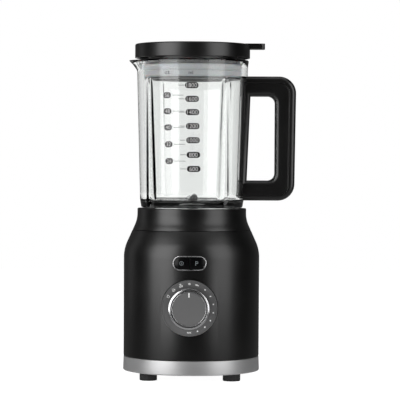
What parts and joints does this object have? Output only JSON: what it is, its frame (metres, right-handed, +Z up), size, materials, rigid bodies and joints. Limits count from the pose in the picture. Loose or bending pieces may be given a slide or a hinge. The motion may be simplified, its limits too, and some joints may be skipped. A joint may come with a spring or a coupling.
{
  "type": "countertop blender",
  "caption": "Countertop blender: satin black motor base with dial and keys, brushed ring, fluted glass jar with handle and spout, blade set and lid.",
  "frame": {"origin": "middle of the whole outline seen from above, in the plane of the feet; the motor's axis is 22.1 mm towards -X and 6.75 mm towards +Y from it", "axes": "+Z up along the motor's axis, front with the dial towards -Y, handle towards +X, spout towards -X"},
  "size_m": [0.2146, 0.1956, 0.4165],
  "materials": {
    "satin_black": "satin",
    "matte_black": "matte",
    "gloss_black": "gloss",
    "rubber": "matte",
    "dial_grey": "satin",
    "chrome": "polished",
    "brushed_ring": "brushed",
    "steel": "satin",
    "zinc": "satin",
    "brass": "satin",
    "copper": "enamelled",
    "carbon": "matte",
    "coupler": "satin",
    "board_green": "satin",
    "silicone": "satin",
    "glass": "polished"
  },
  "bodies": {
    "motor_base": {"base_plate": "matte_black", "foot_1": "rubber", "foot_2": "rubber", "foot_3": "rubber", "foot_4": "rubber", "base_ring": "brushed_ring", "housing": "satin_black", "collar": "satin_black", "button_bezel": "chrome", "dial_plate": "dial_grey", "control_board": "board_green", "speed_encoder": "steel", "power_switch": "steel", "pulse_switch": "steel", "stator_core": "steel", "field_coil_1": "copper", "field_coil_2": "copper", "lower_bracket": "zinc", "upper_bracket": "zinc", "lower_bearing": "steel", "upper_bearing": "steel", "brush_holder_1": "brass", "brush_holder_2": "brass", "carbon_brush_1": "carbon", "carbon_brush_2": "carbon", "cord_gland": "rubber", "base_screw_1": "zinc", "base_screw_2": "zinc", "base_screw_3": "zinc", "base_screw_4": "zinc", "motor_bolt_1": "zinc", "motor_bolt_2": "zinc"},
    "rotor": {"motor_shaft": "steel", "armature": "steel", "commutator": "copper", "cooling_fan": "matte_black", "drive_coupler": "coupler"},
    "speed_knob": {"knob": "dial_grey", "knob_ring": "chrome", "knob_spindle": "steel"},
    "power_key": {"power_button": "gloss_black"},
    "pulse_key": {"pulse_button": "gloss_black"},
    "jar": {"jar_glass": "glass", "jar_nut": "matte_black", "jar_gasket": "silicone", "blade_base": "steel", "blade_bush": "brass", "handle_frame": "satin_black", "handle_cover": "satin_black", "handle_screw_1": "zinc", "handle_screw_2": "zinc"},
    "blade_set": {"blade_shaft": "steel", "lower_blade": "steel", "upper_blade": "steel", "blade_nut": "steel", "jar_coupler": "coupler"},
    "lid_set": {"lid": "satin_black", "lid_seal": "silicone"},
    "filler": {"filler_cap": "satin_black"}
  },
  "joints": [
    {"name": "rotor_spin", "type": "hinge", "parent": "motor_base", "child": "rotor", "pos_m": [-0.0221, 0.00675, 0.1], "axis": [0, 0, 1], "continuous": true},
    {"name": "knob_turn", "type": "hinge", "parent": "motor_base", "child": "speed_knob", "pos_m": [-0.0221, -0.08875, 0.0914], "axis": [0, 1, 0], "range_deg": [-60, 180]},
    {"name": "power_press", "type": "slide", "parent": "motor_base", "child": "power_key", "axis": [0, 1, 0], "range_m": [0, 0.0012], "stiffness_N_per_m": 300, "springref_m": -0.001},
    {"name": "pulse_press", "type": "slide", "parent": "motor_base", "child": "pulse_key", "axis": [0, 1, 0], "range_m": [0, 0.0012], "stiffness_N_per_m": 300, "springref_m": -0.001},
    {"name": "jar_lift", "type": "slide", "parent": "motor_base", "child": "jar", "axis": [0, 0, 1], "range_m": [0, 0.06]},
    {"name": "blade_spin", "type": "hinge", "parent": "jar", "child": "blade_set", "pos_m": [-0.0221, 0.00675, 0.2], "axis": [0, 0, 1], "continuous": true},
    {"name": "lid_lift", "type": "slide", "parent": "jar", "child": "lid_set", "axis": [0, 0, 1], "range_m": [0, 0.05]},
    {"name": "cap_lift", "type": "slide", "parent": "lid_set", "child": "filler", "axis": [0, 0, 1], "range_m": [0, 0.04]}
  ],
  "couplings": [
    {"joint": "blade_spin", "follows": "rotor_spin", "ratio": 1}
  ]
}
